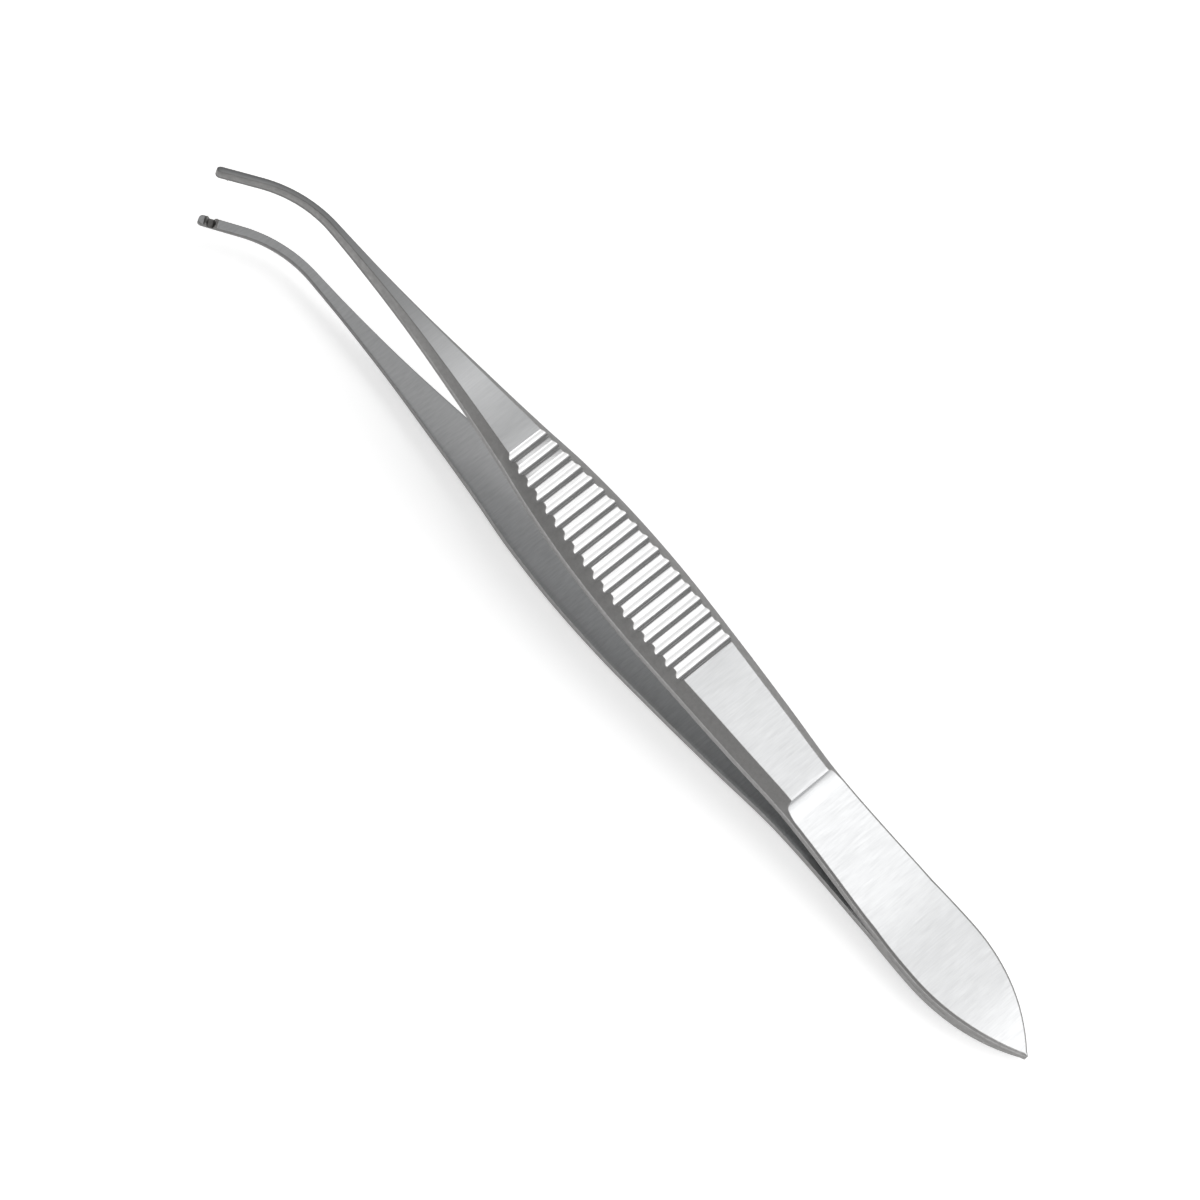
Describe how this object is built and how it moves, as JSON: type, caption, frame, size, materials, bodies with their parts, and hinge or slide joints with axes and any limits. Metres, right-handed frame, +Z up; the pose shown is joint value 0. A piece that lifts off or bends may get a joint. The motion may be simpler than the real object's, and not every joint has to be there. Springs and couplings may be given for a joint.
{
  "type": "thumb forceps",
  "caption": "Slim curved-tip tissue forceps: two sprung steel arms welded at a leaf-shaped tail, grooved bevelled grips, narrow bent tips with small meeting teeth.",
  "frame": {"origin": "on the table, below the middle of the forceps' footprint", "axes": "+X runs along the forceps from the tail to the tips, +Z is up from the table it lies on, and the tips curve towards +Y"},
  "size_m": [0.1003, 0.0088, 0.0137],
  "materials": {
    "brushed_stainless": "satin stainless steel, brushed across the outer faces"
  },
  "bodies": {
    "root": {"upper_arm": "brushed_stainless", "lower_arm": "brushed_stainless"}
  },
  "joints": []
}
